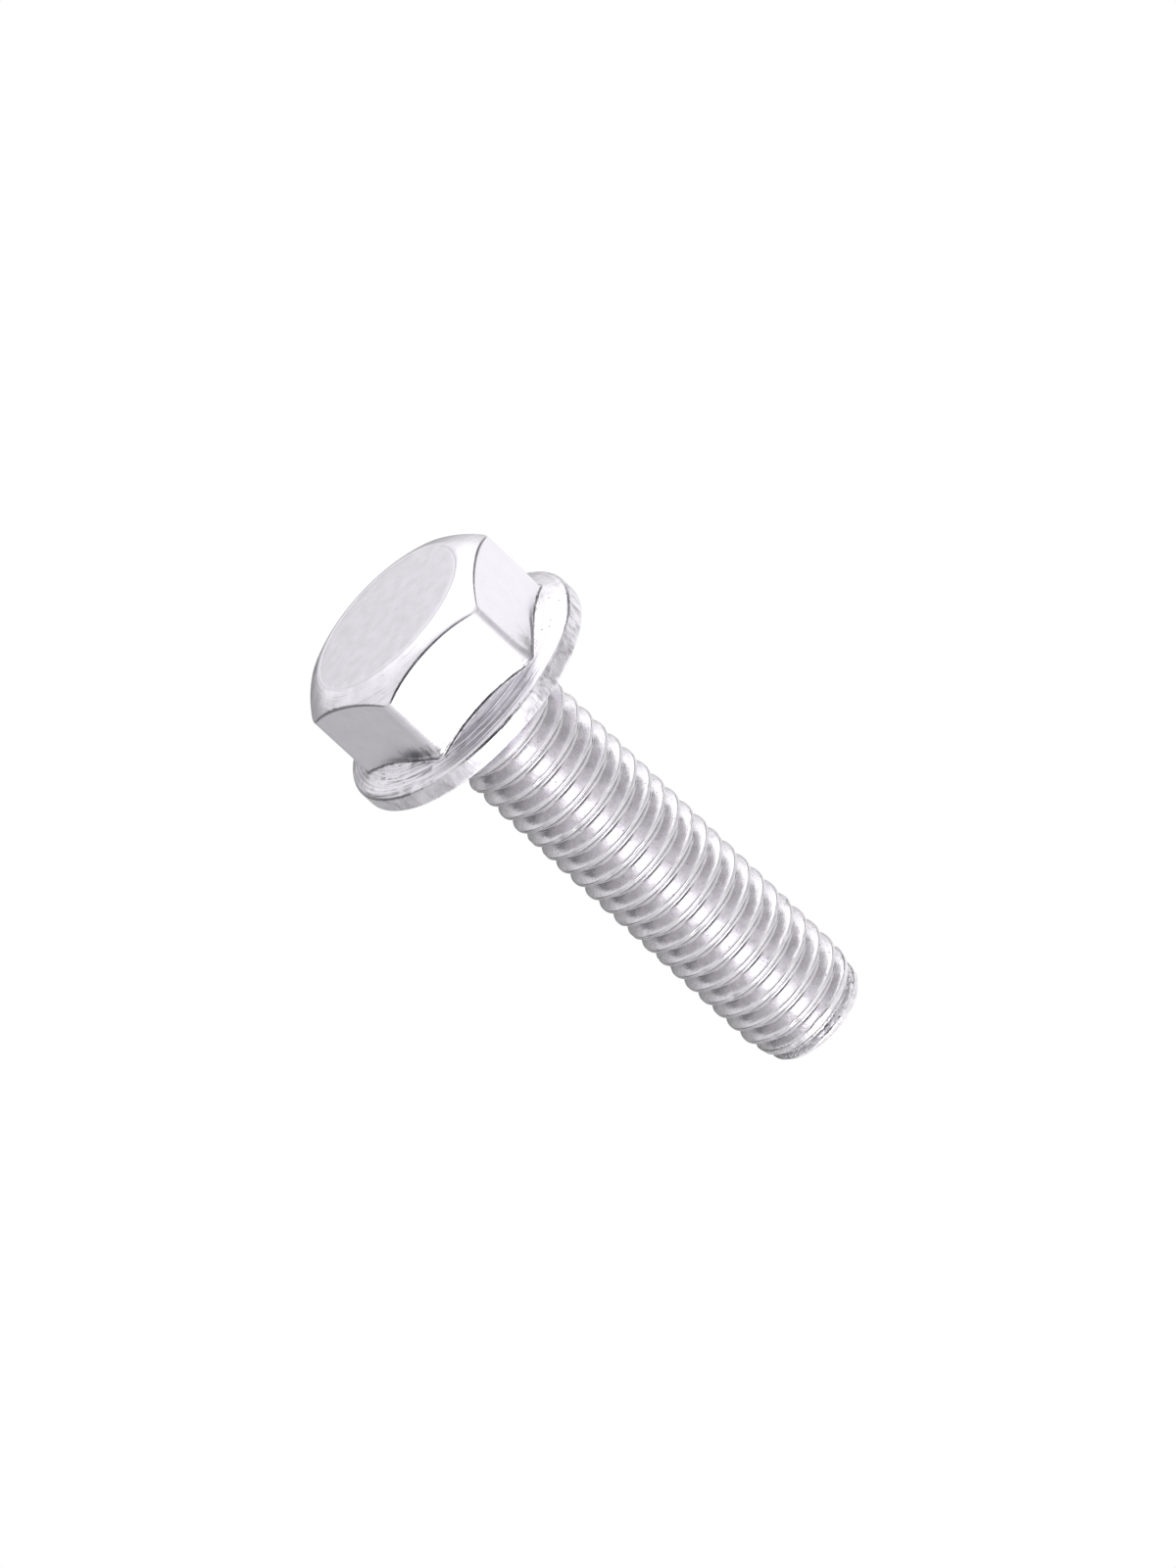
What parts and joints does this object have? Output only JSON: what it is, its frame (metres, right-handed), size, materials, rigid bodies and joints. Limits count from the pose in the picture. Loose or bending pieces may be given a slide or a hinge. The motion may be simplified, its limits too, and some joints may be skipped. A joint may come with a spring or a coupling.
{
  "type": "hex flange bolt",
  "caption": "Hexagon-head bolt with an integral round flange under the head and a coarse thread rolled along the whole shank.",
  "frame": {"origin": "centre of the flat top of the head, which is the lowest face of the standing bolt", "axes": "+Z along the shank from the head towards the thread's end; one flat of the hexagon faces -Y, so two corners lie on the X axis"},
  "size_m": [0.0168, 0.0168, 0.0373],
  "materials": {
    "zinc_plated_steel": "bright clear zinc plate over cold-forged and rolled steel, satin with fine forming marks"
  },
  "bodies": {
    "root": {"flange_bolt": "zinc_plated_steel"}
  },
  "joints": []
}
